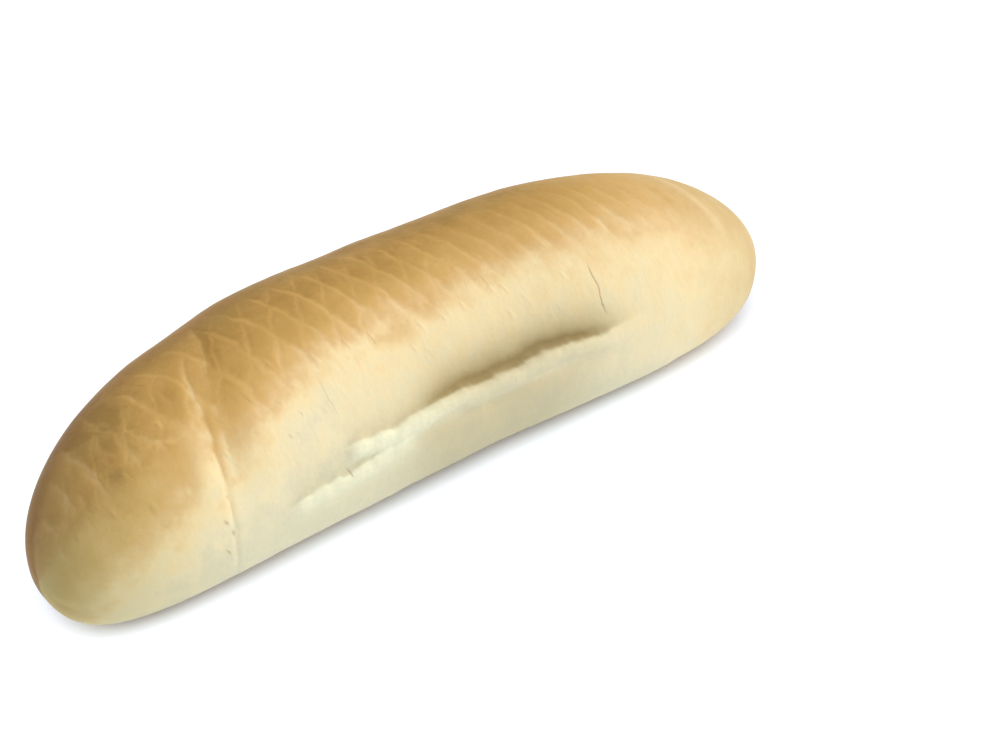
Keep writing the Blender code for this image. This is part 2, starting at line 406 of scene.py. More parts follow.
# The crust's colours, as they look in the studio's light, from least to most browned.
BAKE_COLOURS = (
    (0, (233, 225, 189)),
    (0.14, (249, 235, 192)),
    (0.28, (255, 233, 181)),
    (0.42, (249, 219, 162)),
    (0.55, (237, 200, 140)),
    (0.68, (226, 184, 114)),
    (0.8, (214, 171, 98)),
    (0.9, (203, 160, 87)),
    (1, (178, 138, 69)),
)
# The open crumb's colour, and a darker copy of it further along the roll: painted shade.
CRUMB_AND_SHADED_CRUMB = ((251, 248, 212), (228, 218, 179))
CRUMB_SHADED_FROM = (-8, 6)
CRUMB_SHARE = 0.9
# Painted shade: its tone, on the lower flank below the tears, and in the hollow right of the
# crease.
SHADE_TONE = (180, 163, 116)
SHADED_FLANK = ((-14, 7), (25, 8), (171.5, 2.2), 0.46)
SHADE_BY_CREASE = (-45.4, 2.8, 138, 15, 0.26)
# Painted shade in the hollow above each tear's edge: its tone, share, reach and where it ends;
# then how ragged and soft the open crumb's edge is, and how far down it reaches.
EDGE_SHADE_TONE = (172, 150, 100)
EDGE_SHADE_SHARE = 0.86
EDGE_SHADE_REACH = 10
EDGE_SHADE_ENDS = (0.4, 0.5)
EDGE_RAGGED = (0.16, 0.08)
EDGE_SOFT = 0.4
EDGE_LOWER = 1.1
# The near end's tones, on its crown and its lower flank, and darker on its back rim: partly
# browner crust, partly painted shade where the end faces away from the lamp.
NEAR_END_BROWN_AND_SHADE = ((172, 142, 86), (192, 182, 122))
NEAR_TONES_CHANGE = (122, 14)
NEAR_END_SHARE = (-50, 50)
NEAR_TOP_BROWN_AND_SHADE = (130, 92, 46)
NEAR_TOP = (74, 6)
# A darker tone on the crown's back slope in the near half: partly browner crust, partly painted
# shade where it faces away from the lamp.
TOP_BROWN_AND_SHADE = (176, 120, 40)
TOP_TONE_SHARE = 0.35
TOP_TONE_ENDS = (70, 6)
TOP_TONE_ALONG = (-24, 8)
FAR_END_TONE = (196, 178, 128)
FAR_END_SHARE = (52, 42)
GREENER_TONE = (182, 160, 88)
REDDER_TONE = (198, 136, 76)
HUE_SHARES = (0.22, 0.2)
HUE_SPREAD = 0.6
HUE_BROWNED = 1.5
LIP_TONE = (247, 230, 180)
LIP_SHARE = (0.03, 0.4)
LIP_SHARE_GROWS = (110, 8)
TOAST = (196, 146, 84)
TOAST_HEIGHT = 2.6
TOAST_SHARE = (0.45, 0.15)
# Painted shade in the cracks and in the crease's thin tail line.
CRACK_SHADE_TONE = (150, 100, 54)
CRACK_SHADE_SHARE = (0.45, 0.05)
FLOOR_WHITE = (250, 250, 250)
FLOOR_SURFACE = {"Roughness": 0.9, "Specular IOR Level": 0.0}

# The surface: its roughness, and how that grows with browning, open crumb and specks.
ROUGHNESS = (0.64, -0.08, 0.15, 0.03)
SOFT_SURFACE = {
    "Specular IOR Level": 0.12,
    "Subsurface Weight": 0.15,
    "Subsurface Radius": (1.0, 0.55, 0.25),
    "Subsurface Scale": 0.003,
}
# What is too fine for the mesh: how proud of it or how deep it is, in millimetres. Specks
# stand further out on open crumb, and streaks in the fringe.
BUMP_STRENGTH = 0.8
SPECK_PROUD = (0.03, 0.02)
STREAK_PROUD = (0.006, 0.02)
FLAKE_PROUD = 0.13
LINE_DEEP = 0.06
WRINKLE_DEEP = 0.09
CRACK_DEEP = 0.1
TAIL_LINE_DEEP = 0.06

# How much brighter the studio lights the roll than plain daylight lights white paper.
STUDIO_LIGHT = 1.3
SKY_LIGHT = 0.58
SKY_COLOUR = (0.97, 1, 1.07)
# The lamp is for the roll, and the other keeps the floor white round its contact shadow:
# light, colour, softness, and degrees to the right of the camera's side and upward.
LAMP = (0.84, (1.03, 1, 0.95), 60, 100, 42)
FLOOR_LAMP = (0.9, (0.91, 1, 1.15), 40, 0, 51)

# The photograph's view: where the camera stands, in degrees and millimetres, and where
# in the 1000 by 750 frame it sees the point 14 mm above the middle of the foot.
VIEW_YAW = 39
VIEW_TILT = 35.2
VIEW_DISTANCE = 340
PIXELS_PER_MM = 5.397
AIM_HEIGHT = 14
AIM_PIXEL = (398.2, 363.5)
FRAME_PIXELS = (1000, 750)
SENSOR = 36


def sides(operation):
    """An operator's two methods: with the Number on its left, and on its right."""
    return (lambda number, other: reckon(operation, number, other),
            lambda number, other: reckon(operation, other, number))


class Number:
    """A number that varies over the roll: the output of a node."""

    __add__, __radd__ = sides("ADD")
    __sub__, __rsub__ = sides("SUBTRACT")
    __mul__, __rmul__ = sides("MULTIPLY")
    __truediv__, __rtruediv__ = sides("DIVIDE")
    __pow__, __rpow__ = sides("POWER")

    def __init__(self, tree, socket):
        self.tree = tree
        self.socket = socket


def feed(value, socket):
    """Gives a socket a Number, another node's output or a constant."""
    if isinstance(value, Number):
        value.tree.links.new(value.socket, socket)
    elif isinstance(value, bpy.types.NodeSocket):
        socket.id_data.links.new(value, socket)
    else:
        socket.default_value = value


def fed(node, values):
    """A node, with values given to its inputs by name."""
    for name, value in values.items():
        feed(value, node.inputs[name])
    return node


def reckon(operation, *values):
    """One step of arithmetic as a Math node."""
    tree = next(value.tree for value in values if isinstance(value, Number))
    node = tree.nodes.new("ShaderNodeMath")
    node.operation = operation
    for value, socket in zip(values, node.inputs):
        feed(value, socket)
    return Number(tree, node.outputs[0])


def size_of(value):
    """A value without its sign."""
    return reckon("ABSOLUTE", value)


def limited(value):
    """Kept between 0 and 1."""
    return reckon("MINIMUM", reckon("MAXIMUM", value, 0.0), 1.0)


def falling(distance, reach):
    """1 at no distance, falling off to either side with a sharp top."""
    return math.exp(-1.0) ** (size_of(distance) * (1.0 / reach))


def on_line(value, line):
    """A straight line over a value, kept between 0 and 1: its start and its slope."""
    start, slope = line
    return limited(value * slope + start)


def bell(distance, reach):
    """1 at no distance, falling off smoothly past the reach."""
    near = distance * (1.0 / reach)
    return math.exp(-1.0) ** (near * near)


def rise(distance, edge):
    """0 well before an edge and 1 well past it."""
    return reckon("TANH", distance * (1.0 / edge)) * 0.5 + 0.5


def past(value, edge):
    """0 well before an edge, given as its place and softness, and 1 well past it."""
    place, softness = edge
    return rise(value - place, softness)


def before(value, edge):
    """1 well before an edge and 0 well past it."""
    place, softness = edge
    return rise(place - value, softness)


def between(value, start, end, fade):
    """1 from start to end, fading to 0 outside them."""
    return rise(value - start, fade) * rise(end - value, fade)


def angle_from(angle, centre):
    """The difference of two girth angles, the short way round."""
    return reckon("WRAP", angle - centre, 180.0, -180.0)


def blend(share, low, high):
    """low where share is 0 and high where it is 1."""
    return low + (high - low) * share


def outline(share, powers):
    """How full the roll is at a share of its half length, from 1 down to 0 at the tip."""
    inner, outer = powers
    return (1.0 - size_of(share) ** inner) ** (1.0 / outer)


def combine(tree, x, y, z):
    """A vector from three numbers."""
    node = tree.nodes.new("ShaderNodeCombineXYZ")
    for value, socket in zip((x, y, z), node.inputs):
        feed(value, socket)
    return node.outputs[0]


def separate(tree, vector):
    """The three numbers of a vector."""
    node = tree.nodes.new("ShaderNodeSeparateXYZ")
    tree.links.new(vector, node.inputs[0])
    return [Number(tree, output) for output in node.outputs]


def mottle(tree, place, kind, seed):
    """Smooth unevenness to both sides of 0, of one of the kinds in MOTTLES."""
    size, own_seed, detail, strength = MOTTLES[kind]
    node = tree.nodes.new("ShaderNodeTexNoise")
    node.noise_dimensions = "4D"
    fed(node, {"Scale": 1.0 / size, "Detail": detail, "Vector": place, "W": seed + own_seed})
    return (Number(tree, node.outputs[0]) * 4.0 - 2.0) * strength


def swells(along, angle):
    """The uneven rise of the dough."""
    total = 0.0
    for centre, centre_angle, height, reach_along, reach_round in SWELLS:
        near = bell(along - centre, reach_along) * height
        total = total + near * bell(angle_from(angle, centre_angle), reach_round)
    return total


def crease_off(along, angle):
    """The distance along the roll from the middle of the crease."""
    lean = bell(angle_from(angle, CREASE_LEAN_ANGLE), CREASE_LEAN_REACH) * CREASE_LEAN
    return along - CREASE_ALONG - lean


def crease_gap(angle):
    """Half the distance between the two lips of the crease."""
    return before(angle, CREASE_GAP_WIDENS) * CREASE_GAP_WIDER + CREASE_GAP


def sharp_side(off, reach):
    """1 on an edge, falling off slowly over a reach before it and quickly past it."""
    reach = blend(rise(off, SHARP_TURN), reach, SHARP_AFTER)
    return math.exp(-1.0) ** (size_of(off) / reach)


def crease_edges(off, gap, angle):
    """How near a place is to the crease's two sharp edges: the left one and the right one."""
    lower = past(angle, CREASE_LOWER)
    shift, lower_shift = CREASE_LEFT_EDGE
    reach, wider = CREASE_LEFT_REACH
    reach = past(angle, CREASE_LEFT_WIDENS) * wider + reach
    left = sharp_side(off + gap - shift - lower * lower_shift, reach)
    left = left * between(angle, *CREASE_LEFT_SPAN)
    right_here = 0.0
    for span in CREASE_RIGHT_SPANS:
        right_here = right_here + between(angle, *span)
    shift, upper_shift, lower_shift = CREASE_RIGHT_EDGE
    shift = before(angle, CREASE_UPPER) * upper_shift + lower * lower_shift + shift
    reach, wider = CREASE_RIGHT_REACH
    return left, sharp_side(off - shift, lower * wider + reach) * right_here


def by_crease(off, angle, row):
    """A slope, a hollow or a tone that runs along the crease."""
    place, reach, span, amount = row
    return bell(off + place, reach) * between(angle, *span) * amount


def crease(off, gap, angle, uneven):
    """The pinched crease, the furrows along its two edges, its waist and its thin tail."""
    left, right = crease_edges(off, gap, angle)
    furrows = left * CREASE_LEFT_DEPTH + right * CREASE_RIGHT_DEPTH
    furrows = furrows * on_line(uneven, CREASE_FURROW_UNEVEN)
    trough = by_crease(off / (gap + CREASE_TROUGH_WIDER), angle, CREASE_TROUGH)
    hollows = by_crease(off, angle, CREASE_WAIST) + by_crease(off, angle, CREASE_TAIL)
    return by_crease(off + gap, angle, CREASE_SLOPE) - furrows - trough - hollows


def ridge_off(along, angle):
    """The distance along the roll from the low ridge across the crown."""
    return along - RIDGE_ALONG - (angle - 90.0) * RIDGE_LEAN


def ridge(off, angle):
    """The low ridge across the crown."""
    return bell(off, RIDGE_HALF_WIDTH) * between(angle, *RIDGE_SPAN)


def tear_place(along, angle, ragged, span, line, wander, way):
    """How far beyond a tear's edge a place is, in degrees, and whether the tear runs there."""
    start, start_fade, end, end_fade = span
    line_angle, slope = line
    height, wave = wander
    middle = 0.5 * (start + end)
    wandering = reckon("SINE", along * (2.0 * math.pi / wave)) * height + ragged
    beyond = angle_from(angle - (along - middle) * slope - wandering, line_angle) * way
    return beyond, rise(along - start, start_fade) * rise(end - along, end_fade)


def tear_deeper(along, deepens):
    """How much of its full depth the hollow above a tear has at a place."""
    return rise(along - deepens, TEAR_DEEPENS_OVER) * (1.0 - TEAR_SHALLOW) + TEAR_SHALLOW


def tear_relief(along, beyond, here, lumps, above, below):
    """The hollow under the crust's edge, and the lumpy shelf of crumb that sticks out."""
    depth, reach, deepens = above
    height, width, softness = below
    hollow = falling(beyond, reach) * tear_deeper(along, deepens) * -depth
    later = past(along, SHELF_SOFTENS)
    fading_out = later * SHELF_SOFTER + softness
    shelf = rise((width - beyond) / fading_out, 1.0) * (lumps * LUMP_HEIGHT + 1.0) * height
    dip, deeper = SHELF_DIP
    place, reach = SHELF_DIP_PLACE
    dip = bell(beyond - place * width, reach * width) * (later * deeper + dip) * -height
    end, fade = SHELF_ENDS
    fading = rise(end * width - beyond, fade * width)
    return blend(rise(beyond, TEAR_EDGE), hollow, (shelf + dip) * fading) * here


def tear_lumps(along, uneven):
    """The rounded lumps of torn crumb, from about -1 between them to +1."""
    turns = (along - LUMPS_FROM + uneven("lump shift")) * (math.pi / LUMP_LENGTH)
    clefts = size_of(reckon("SINE", turns)) - LUMP_MIDDLE
    clefts = clefts * before(along, LUMPS_END) * LUMP_CLEFTS
    return clefts + uneven("lump") + uneven("small lump")


def spot(along, angle, centre, reach, centre_angle, reach_round):
    """1 at a place of the skin, falling off smoothly all round it."""
    return bell(along - centre, reach) * bell(angle - centre_angle, reach_round)


def fold(along, angle):
    """The small fold at the foot of the near end."""
    reach_along, reach_round = FOLD_REACH
    near = bell(along - FOLD_ALONG, reach_along) * -FOLD_DEPTH
    return near * bell(angle_from(angle, FOLD_ANGLE), reach_round)


def net_off(along, down, wobble, line):
    """How far a place is from the nearest line of one set, in mm, and that line's count."""
    per_mm, growth, slant, _, _ = line
    shifted = along + NET_SHIFT + wobble
    count = shifted * per_mm + shifted * shifted * growth + down * slant
    spacing = 1.0 / (shifted * (2.0 * growth) + per_mm)
    return (reckon("FRACT", count) - 0.5) * spacing, reckon("FLOOR", count + 0.5)


def net_zone(along, angle):
    """Where on the crown the net shows."""
    start, end, fade = NET_ZONE
    later = past(along, NET_STARTS_LATER) * NET_LATER_BY
    return rise(angle - start - later, fade) * rise(end - angle, fade)


def net(along, down, angle, wobble, faint, wider):
    """The fine net of the crown, from 0 between its lines to 1 on them."""
    long_off, _ = net_off(along, down, wobble, NET_LONG)
    short_off, _ = net_off(along, down, wobble * NET_SHORT_WOBBLE, NET_SHORT)
    half_width, strength = NET_LONG[3:]
    long_lines = bell(long_off / (wider + half_width), 1.0) * strength
    half_width, strength = NET_SHORT[3:]
    short_lines = bell(short_off / (wider * NET_SHORT_WIDER + half_width), 1.0) * strength
    short_lines = short_lines * before(along, NET_SHORT_ENDS)
    short_lines = short_lines * on_line(faint, NET_SHORT_FAINT)
    strongest = reckon("MAXIMUM", long_lines * on_line(faint, NET_LONG_FAINT), short_lines)
    return strongest * net_zone(along, angle) * (1.0 - past(along, NET_FAR_END) * NET_FAR_LESS)


def scales(along, down, wobble):
    """The step in tone at the net's long lines, and the count of the scale between two."""
    off, count = net_off(along, down, wobble, NET_LONG)
    return reckon("TANH", off * (-1.0 / SCALE_EDGE)) * falling(off, SCALE_REACH), count


def line_off(along, angle, wander, centre, start, end, lean):
    """The distance along the roll from a leaning line across the girth."""
    return along - centre - (angle - 0.5 * (start + end)) * lean - wander


def stretch_marks(along, angle, wander):
    """The pale stretch marks of the near end, from 0 off them to 1 on the strongest."""
    marks = []
    for centre, start, end, lean, half_width, strength in STRETCH_MARKS:
        off = line_off(along, angle, wander, centre, start, end, lean)
        here = between(angle, start, end, MARK_FADE)
        marks.append(sharp_side(off, MARK_BEFORE * half_width) * here * strength)
    strongest = marks[0]
    for mark in marks[1:]:
        strongest = reckon("MAXIMUM", strongest, mark)
    return strongest


def cracks(along, angle, wander):
    """How far along a place is from the nearest crack, in its widths, and how deep it is."""
    total_off = 0.0
    total_here = 0.0
    for centre, start, end, lean, width, depth in CRACKS:
        off = line_off(along, angle, wander, centre, start, end, lean)
        here = bell(along - centre, CRACK_REACH) * between(angle, start, end, CRACK_FADE)
        total_off = total_off + off * here * (1.0 / width)
        total_here = total_here + here * depth
    return total_off / (total_here + 0.001), limited(total_here)


def browning(along, angle, wander):
    """How browned the crust is, from 0 on the palest flank to 1; the near end's darker crown is
    partly painted shade.
    """
    near = reckon("MAXIMUM", BROWN_GROWS_FROM - along, 0.0)
    front = near * near * BROWN_FRONT_GROWTH + BROWN_FRONT + wander
    length, power, softer = BROWN_SOFT_GROWTH
    soft = (near / length) ** power * softer + BROWN_SOFT
    brown = reckon("TANH", (front - angle) / soft) * 0.5 + 0.5
    tail, tail_end, tail_fade = BROWN_TAIL
    more, further = TAIL_GROWS_BY
    grown = past(along, TAIL_GROWS)
    tail = grown * more + tail
    reaches = grown * further + tail_end
    brown = brown * (1.0 - tail) + rise(reaches - angle + wander, tail_fade) * tail
    brown = brown * rise(angle + wander - BROWN_BACK, BROWN_BACK_SOFT)
    edge, near_less = NEAR_LESS
    less = before(along, edge) * near_less
    edge, far_less = FAR_LESS
    less = less + past(along, edge) * far_less
    # A darker crown at the near end: partly browner crust, partly painted shade.
    dark_along, dark_front, back_fade, darker = NEAR_BAKE_AND_SHADE
    dark = before(along, dark_along) * before(angle, dark_front)
    dark = dark * rise(angle - BROWN_BACK, back_fade)
    brown = brown * (1.0 - less) + dark * darker
    brown = blend(before(along, NEAR_TIP), brown, NEAR_TIP_BAKE)
    for *place, paler in PALE_PATCHES:
        brown = brown - spot(along, angle, *place) * paler
    pale, more = FAR_END_BAKE
    gold = before(angle, FAR_END_FRONT) * past(angle, FAR_END_BACK) * more + pale
    gold = blend(past(along, FAR_TIP), gold, FAR_TIP_BAKE)
    return blend(past(along, FAR_END), brown, gold)


def crowded(value, places):
    """Moved a little towards each place, so that points lie closer together there."""
    moved = value
    for centre, reach, pull in places:
        near = (value - centre) * (1.0 / reach)
        moved = moved - near * bell(near, 1.0) * pull
    return moved


def skin_tree():
    """The tree that makes the roll's skin from a round net of points."""
    tree = bpy.data.node_groups.new("roll_skin", "GeometryNodeTree")
    tree.is_modifier = True
    tree.interface.new_socket("Skin", in_out="OUTPUT", socket_type="NodeSocketGeometry")
    for name in ROLL_SIZES:
        tree.interface.new_socket(name, in_out="INPUT", socket_type="NodeSocketFloat")
    for name in ("Rings", "Points round"):
        tree.interface.new_socket(name, in_out="INPUT", socket_type="NodeSocketInt")
    tree.interface.new_socket("Crust", in_out="INPUT", socket_type="NodeSocketMaterial")
    given = tree.nodes.new("NodeGroupInput")
    size = {name: Number(tree, given.outputs[name]) for name in ROLL_SIZES}

    ball = tree.nodes.new("GeometryNodeMeshUVSphere")
    rings, points_round = given.outputs["Rings"], given.outputs["Points round"]
    fed(ball, {"Radius": 1.0, "Rings": rings, "Segments": points_round})
    position = tree.nodes.new("GeometryNodeInputPosition").outputs[0]
    ball_y, ball_z, ball_x = separate(tree, position)
    along = crowded(ball_x * size["Length"] * 0.5, CLOSER_ALONG)
    share = along / (size["Length"] * 0.5)
    angle = reckon("ARCTAN2", ball_z, ball_y) * (180.0 / math.pi)
    angle = crowded(reckon("WRAP", angle, 270.0, -90.0), CLOSER_ROUND)
    cosine, sine = girth_parts(angle)
    fullness = outline(share, PLAN_OUTLINE)

    half_width = size["Width"] * 0.5 * fullness * (share * FAR_END_WIDER + 1.0)
    crown = (size["Height"] - size["Belly height"]) * outline(share, CROWN_OUTLINE)
    crown = crown * (share * FAR_END_TALLER + 1.0)
    foot = size["Belly height"] * PRESSED_FLAT * outline(share, FOOT_OUTLINE)
    above = reckon("GREATER_THAN", sine, 0.0)
    power = blend(above, SECTION_BELOW, SECTION_ABOVE)
    half_height = blend(above, foot, crown)
    radius = (size_of(cosine) ** power + size_of(sine) ** power) ** (-1.0 / power)
    across = cosine * radius
    upward = sine * radius
    out_y = reckon("SIGN", across) * size_of(across) ** (power - 1.0) / half_width
    out_z = reckon("SIGN", upward) * size_of(upward) ** (power - 1.0) / half_height
    steepness = reckon("SQRT", out_y * out_y + out_z * out_z)
    spine = (1.0 - share * share) * size["Bow"] + share * share * share * size["End swing"]
    plain_y = spine + half_width * across
    plain_z = size["Belly height"] + half_height * upward
    place = combine(tree, along, plain_y, plain_z)

    def uneven(kind):
        return mottle(tree, place, kind, size["Seed"])

    pinched = uneven("crease")
    off = crease_off(along, angle) + pinched * CREASE_UNEVEN
    gap = crease_gap(angle) + uneven("gap")
    relief = swells(along, angle) + crease(off, gap, angle, pinched) + fold(along, angle)
    relief = relief + ridge(ridge_off(along, angle), angle) * RIDGE_HEIGHT
    lumps = tear_lumps(along, uneven)
    ragged = uneven("tear edge") - lumps * LUMP_EDGE
    bared = 0.0
    beyond_all = []
    here_all = []
    for span, line, wander, hollow, shelf, way in TEARS:
        beyond, here = tear_place(along, angle, ragged, span, line, wander, way)
        relief = relief + tear_relief(along, beyond, here, lumps, hollow, shelf)
        on_shelf = rise(beyond, TEAR_EDGE) * rise(shelf[1] - beyond, SHELF_BARED_FADE)
        bared = bared + on_shelf * here
        beyond_all.append(beyond)
        here_all.append(here)
    relief = relief + uneven("crumb") * bared + uneven("swell") + uneven("dimple")
    down = (angle - 90.0) * GIRTH_PER_DEGREE * fullness
    wobble = uneven("net wobble")
    faint = uneven("net faint") + NET_FAINT
    lines = net(along, down, angle, wobble, faint, NET_FURROW_WIDER)
    relief = relief - lines * size["Net depth"]
    marks = stretch_marks(along, angle, wobble * MARK_WOBBLE + uneven("mark edge"))
    relief = relief - marks * size["Net depth"] * MARK_DEEPER
    proud = relief * fullness / steepness

    y = plain_y + proud * out_y
    z = reckon("MAXIMUM", plain_z + proud * out_z, 0.0)
    point = combine(tree, along * MM, y * MM, z * MM)
    crack_off, crack_here = cracks(along, angle, uneven("crack"))

    skin = ball.outputs["Mesh"]
    kept = {
        "place": ("FLOAT_VECTOR", place),
        "girth": ("FLOAT_VECTOR", combine(tree, cosine, sine, fullness)),
        "net": ("FLOAT_VECTOR", combine(tree, down, wobble, faint)),
        "browned": ("FLOAT", browning(along, angle, uneven("brown edge"))),
        "creased": ("FLOAT_VECTOR", combine(tree, off, gap, marks)),
        "cracked": ("FLOAT_VECTOR", combine(tree, crack_off, crack_here, 0.0)),
        "beyond_tears": ("FLOAT_VECTOR", combine(tree, *beyond_all)),
        "torn_here": ("FLOAT_VECTOR", combine(tree, *here_all)),
    }
    for name, (kind, value) in kept.items():
        store = tree.nodes.new("GeometryNodeStoreNamedAttribute")
        store.data_type = kind
        store.domain = "POINT"
        fed(store, {"Name": name, "Geometry": skin, "Value": value})
        skin = store.outputs["Geometry"]
    steps = (
        ("GeometryNodeSetPosition", {"Position": point}),
        ("GeometryNodeRealizeInstances", {}),
        ("GeometryNodeSetMaterial", {"Material": given.outputs["Crust"]}),
    )
    for kind, values in steps:
        skin = fed(tree.nodes.new(kind), dict(values, Geometry=skin)).outputs["Geometry"]
    fed(tree.nodes.new("NodeGroupOutput"), {"Skin": skin})
    return tree


def girth_parts(angle):
    """The cosine and sine of a girth angle, which have no seam under the foot."""
    turned = angle * (math.pi / 180.0)
    return reckon("COSINE", turned), reckon("SINE", turned)


def make_skin(material):
    """The roll's skin as a plain mesh, set over the solid that it replaces."""
    tree = skin_tree()
    maker = bpy.data.objects.new("roll_maker", bpy.data.meshes.new("roll_maker"))
    bpy.context.scene.collection.objects.link(maker)
    modifier = maker.modifiers.new("roll skin", "NODES")
    modifier.node_group = tree
    values = dict(ROLL_SIZES, Rings=RINGS, Crust=material)
    values["Points round"] = POINTS_ROUND
    for item in tree.interface.items_tree:
        if item.in_out == "INPUT":
            modifier[item.identifier] = values[item.name]
    graph = bpy.context.evaluated_depsgraph_get()
    mesh = bpy.data.meshes.new_from_object(maker.evaluated_get(graph), depsgraph=graph)
    bpy.data.objects.remove(maker, do_unlink=True)

    lowest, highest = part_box("finger_roll")
    middle = 0.5 * (lowest.y + highest.y)
    sides = [vertex.co.y for vertex in mesh.vertices]
    mesh.transform(Matrix.Translation((0.0, middle - 0.5 * (min(sides) + max(sides)), 0.0)))
    mesh.name = "crust"
    mesh.shade_smooth()
    skin = bpy.data.objects.new("crust", mesh)
    bpy.context.scene.collection.objects.link(skin)
    return skin


def daylight(colour, light=1.0):
    """A colour given as seen, 0 to 255, as the paint that looks so in a light."""
    def linear(level):
        level = level / 255.0
        return level / 12.92 if level <= 0.04045 else ((level + 0.055) / 1.055) ** 2.4
    return (*(linear(level) / light for level in colour), 1.0)


def attribute(tree, name):
    """A value that the skin's points keep."""
    node = tree.nodes.new("ShaderNodeAttribute")
    node.attribute_name = name
    return node


def painted(tree, share, low, high):
    """A colour between two others."""
    node = tree.nodes.new("ShaderNodeMix")
    node.data_type = "RGBA"
    feed(share, node.inputs[0])
    for colour, socket in ((low, node.inputs[6]), (high, node.inputs[7])):
        is_link = isinstance(colour, bpy.types.NodeSocket)
        feed(colour if is_link else daylight(colour, STUDIO_LIGHT), socket)
    return node.outputs[2]


def colour_ramp(tree, share, stops):
    """A colour that runs through several others."""
    node = tree.nodes.new("ShaderNodeValToRGB")
    ramp = node.color_ramp
    while len(ramp.elements) < len(stops):
        ramp.elements.new(0.5)
    for element, (position, colour) in zip(ramp.elements, stops):
        element.position = position
        element.color = daylight(colour, STUDIO_LIGHT)
    feed(share, node.inputs[0])
    return node.outputs[0]


def skin_cells(tree, along, down, wander):
    """How far a place is from the border of its cell of wrinkled skin, and the cell's tone."""
    lean, stretch, shift = CELL_SLANT
    slanted = combine(tree, along + wander - down * lean, down * stretch - wander * shift, 0.0)
    outputs = []
    for feature, output in (("DISTANCE_TO_EDGE", "Distance"), ("F1", "Color")):
        node = tree.nodes.new("ShaderNodeTexVoronoi")
        node.voronoi_dimensions = "2D"
        node.feature = feature
        fed(node, {"Scale": 1.0 / CELL_SIZE, "Vector": slanted})
        outputs.append(node.outputs[output])
    border, colour = outputs
    return Number(tree, border) * CELL_SIZE, separate(tree, colour)[0] * 2.0 - 1.0


def flakes(tree, along, down, wander):
    """Small lifted flakes of skin, thinly scattered, from 0 off them to 1 on them."""
    node = tree.nodes.new("ShaderNodeTexVoronoi")
    node.voronoi_dimensions = "2D"
    across = (along - down * FLAKE_SLANT + wander * FLAKE_WANDER) / FLAKE_SPACING
    fed(node, {"Scale": 1.0, "Vector": combine(tree, across, down / FLAKE_LENGTH, 0.0)})
    chance = separate(tree, node.outputs["Color"])[0]
    return bell(Number(tree, node.outputs["Distance"]), FLAKE_SIZE) * past(chance, FLAKE_EMPTY)


class Skin:
    """What the skin's points keep, and the unevenness that its details share."""

    def __init__(self, tree):
        self.tree = tree
        self.place = attribute(tree, "place").outputs["Vector"]
        self.along, _, self.height = separate(tree, self.place)
        cosine, sine, fullness = self.kept("girth")
        self.down, self.wobble, self.faint = self.kept("net")
        self.off, self.gap, self.marks = self.kept("creased")
        crack_off, crack_here, _ = self.kept("cracked")
        self.crack = bell(crack_off, 1.0) * crack_here
        self.beyond_tears = self.kept("beyond_tears")
        self.torn_here = self.kept("torn_here")
        self.browned = Number(tree, attribute(tree, "browned").outputs["Fac"])
        angle = reckon("ARCTAN2", sine, cosine) * (180.0 / math.pi)
        self.angle = reckon("WRAP", angle, 270.0, -90.0)

        self.patches = self.uneven("patch")
        self.specks = self.uneven("speck")
        stretch_down, stretch_up = STREAK_STRETCH
        streaky = combine(tree, self.along, self.down * stretch_down, self.height * stretch_up)
        tapering = on_line(fullness, STREAK_FULLNESS)
        self.streaks = self.uneven("streak", streaky) * tapering
        middle, reach = FRINGE
        self.fringe = bell(self.browned - middle, reach)
        self.near_end = before(self.along, NEAR_END)

    def kept(self, name):
        """The three numbers that the points keep under a name."""
        return separate(self.tree, attribute(self.tree, name).outputs["Vector"])

    def uneven(self, kind, place=None):
        """A kind of unevenness over the skin, or over a place of its own."""
        place = self.place if place is None else place
        return mottle(self.tree, place, kind, ROLL_SIZES["Seed"])


def fading(along, steps):
    """1, less a share past each of several places."""
    total = 1.0
    for edge, less in steps:
        total = total - past(along, edge) * less
    return total


def in_fringe(skin, amounts):
    """An amount on plain crust, and more of it where brown turns to cream."""
    plain, more = amounts
    return skin.fringe * more + plain


def net_bake(skin, bake):
    """The browning with the crown's net and scales, and how strong the net's lines are."""
    tree, along, down, angle = skin.tree, skin.along, skin.down, skin.angle
    wider = past(angle, NET_LINE_WIDENS) * NET_LINE_WIDER
    by_specks, by_streaks = NET_LINE_RAGGED
    wobble = skin.wobble + skin.specks * by_specks + skin.streaks * by_streaks
    lines = net(along, down, angle, wobble, skin.faint, wider) * fading(along, LINE_FAINTER)
    bake = bake - lines * in_fringe(skin, LINE_BAKE) + skin.streaks * in_fringe(skin, STREAK_BAKE)
    step, count = scales(along, down, wobble)
    place = combine(tree, count * SCALE_APART, down, along * SCALE_STRETCH)
    strips = skin.uneven("strip", place)
    near_shift, shift = SCALE_SHIFT_BY
    scaly = net_zone(along, angle - before(along, SCALE_SHIFT) * near_shift - shift)
    scaly = scaly * fading(along, SCALE_FAINTER)
    bake = bake - step * scaly * limited(skin.faint * STEP_FAINT) * in_fringe(skin, STEP_BAKE)
    return bake + strips * scaly * in_fringe(skin, STRIP_BAKE), lines


def blotch_bake(skin):
    """Blotches in the fringe of the near half, and the darker strip on the crown's back slope,
    partly browner crust and partly painted shade.
    """
    blotches = reckon("TANH", skin.uneven("blotch"))
    middle, reach = BLOTCH_FRINGE
    where = bell(skin.browned - middle, reach) * before(skin.along, BLOTCH_ENDS)
    # The crown's back slope: partly browner crust, partly painted shade.
    top = before(skin.angle, TOP_TO) * past(skin.angle, TOP_FROM)
    return blotches * limited(where) * BLOTCH_BAKE + top * TOP_BAKE_AND_SHADE


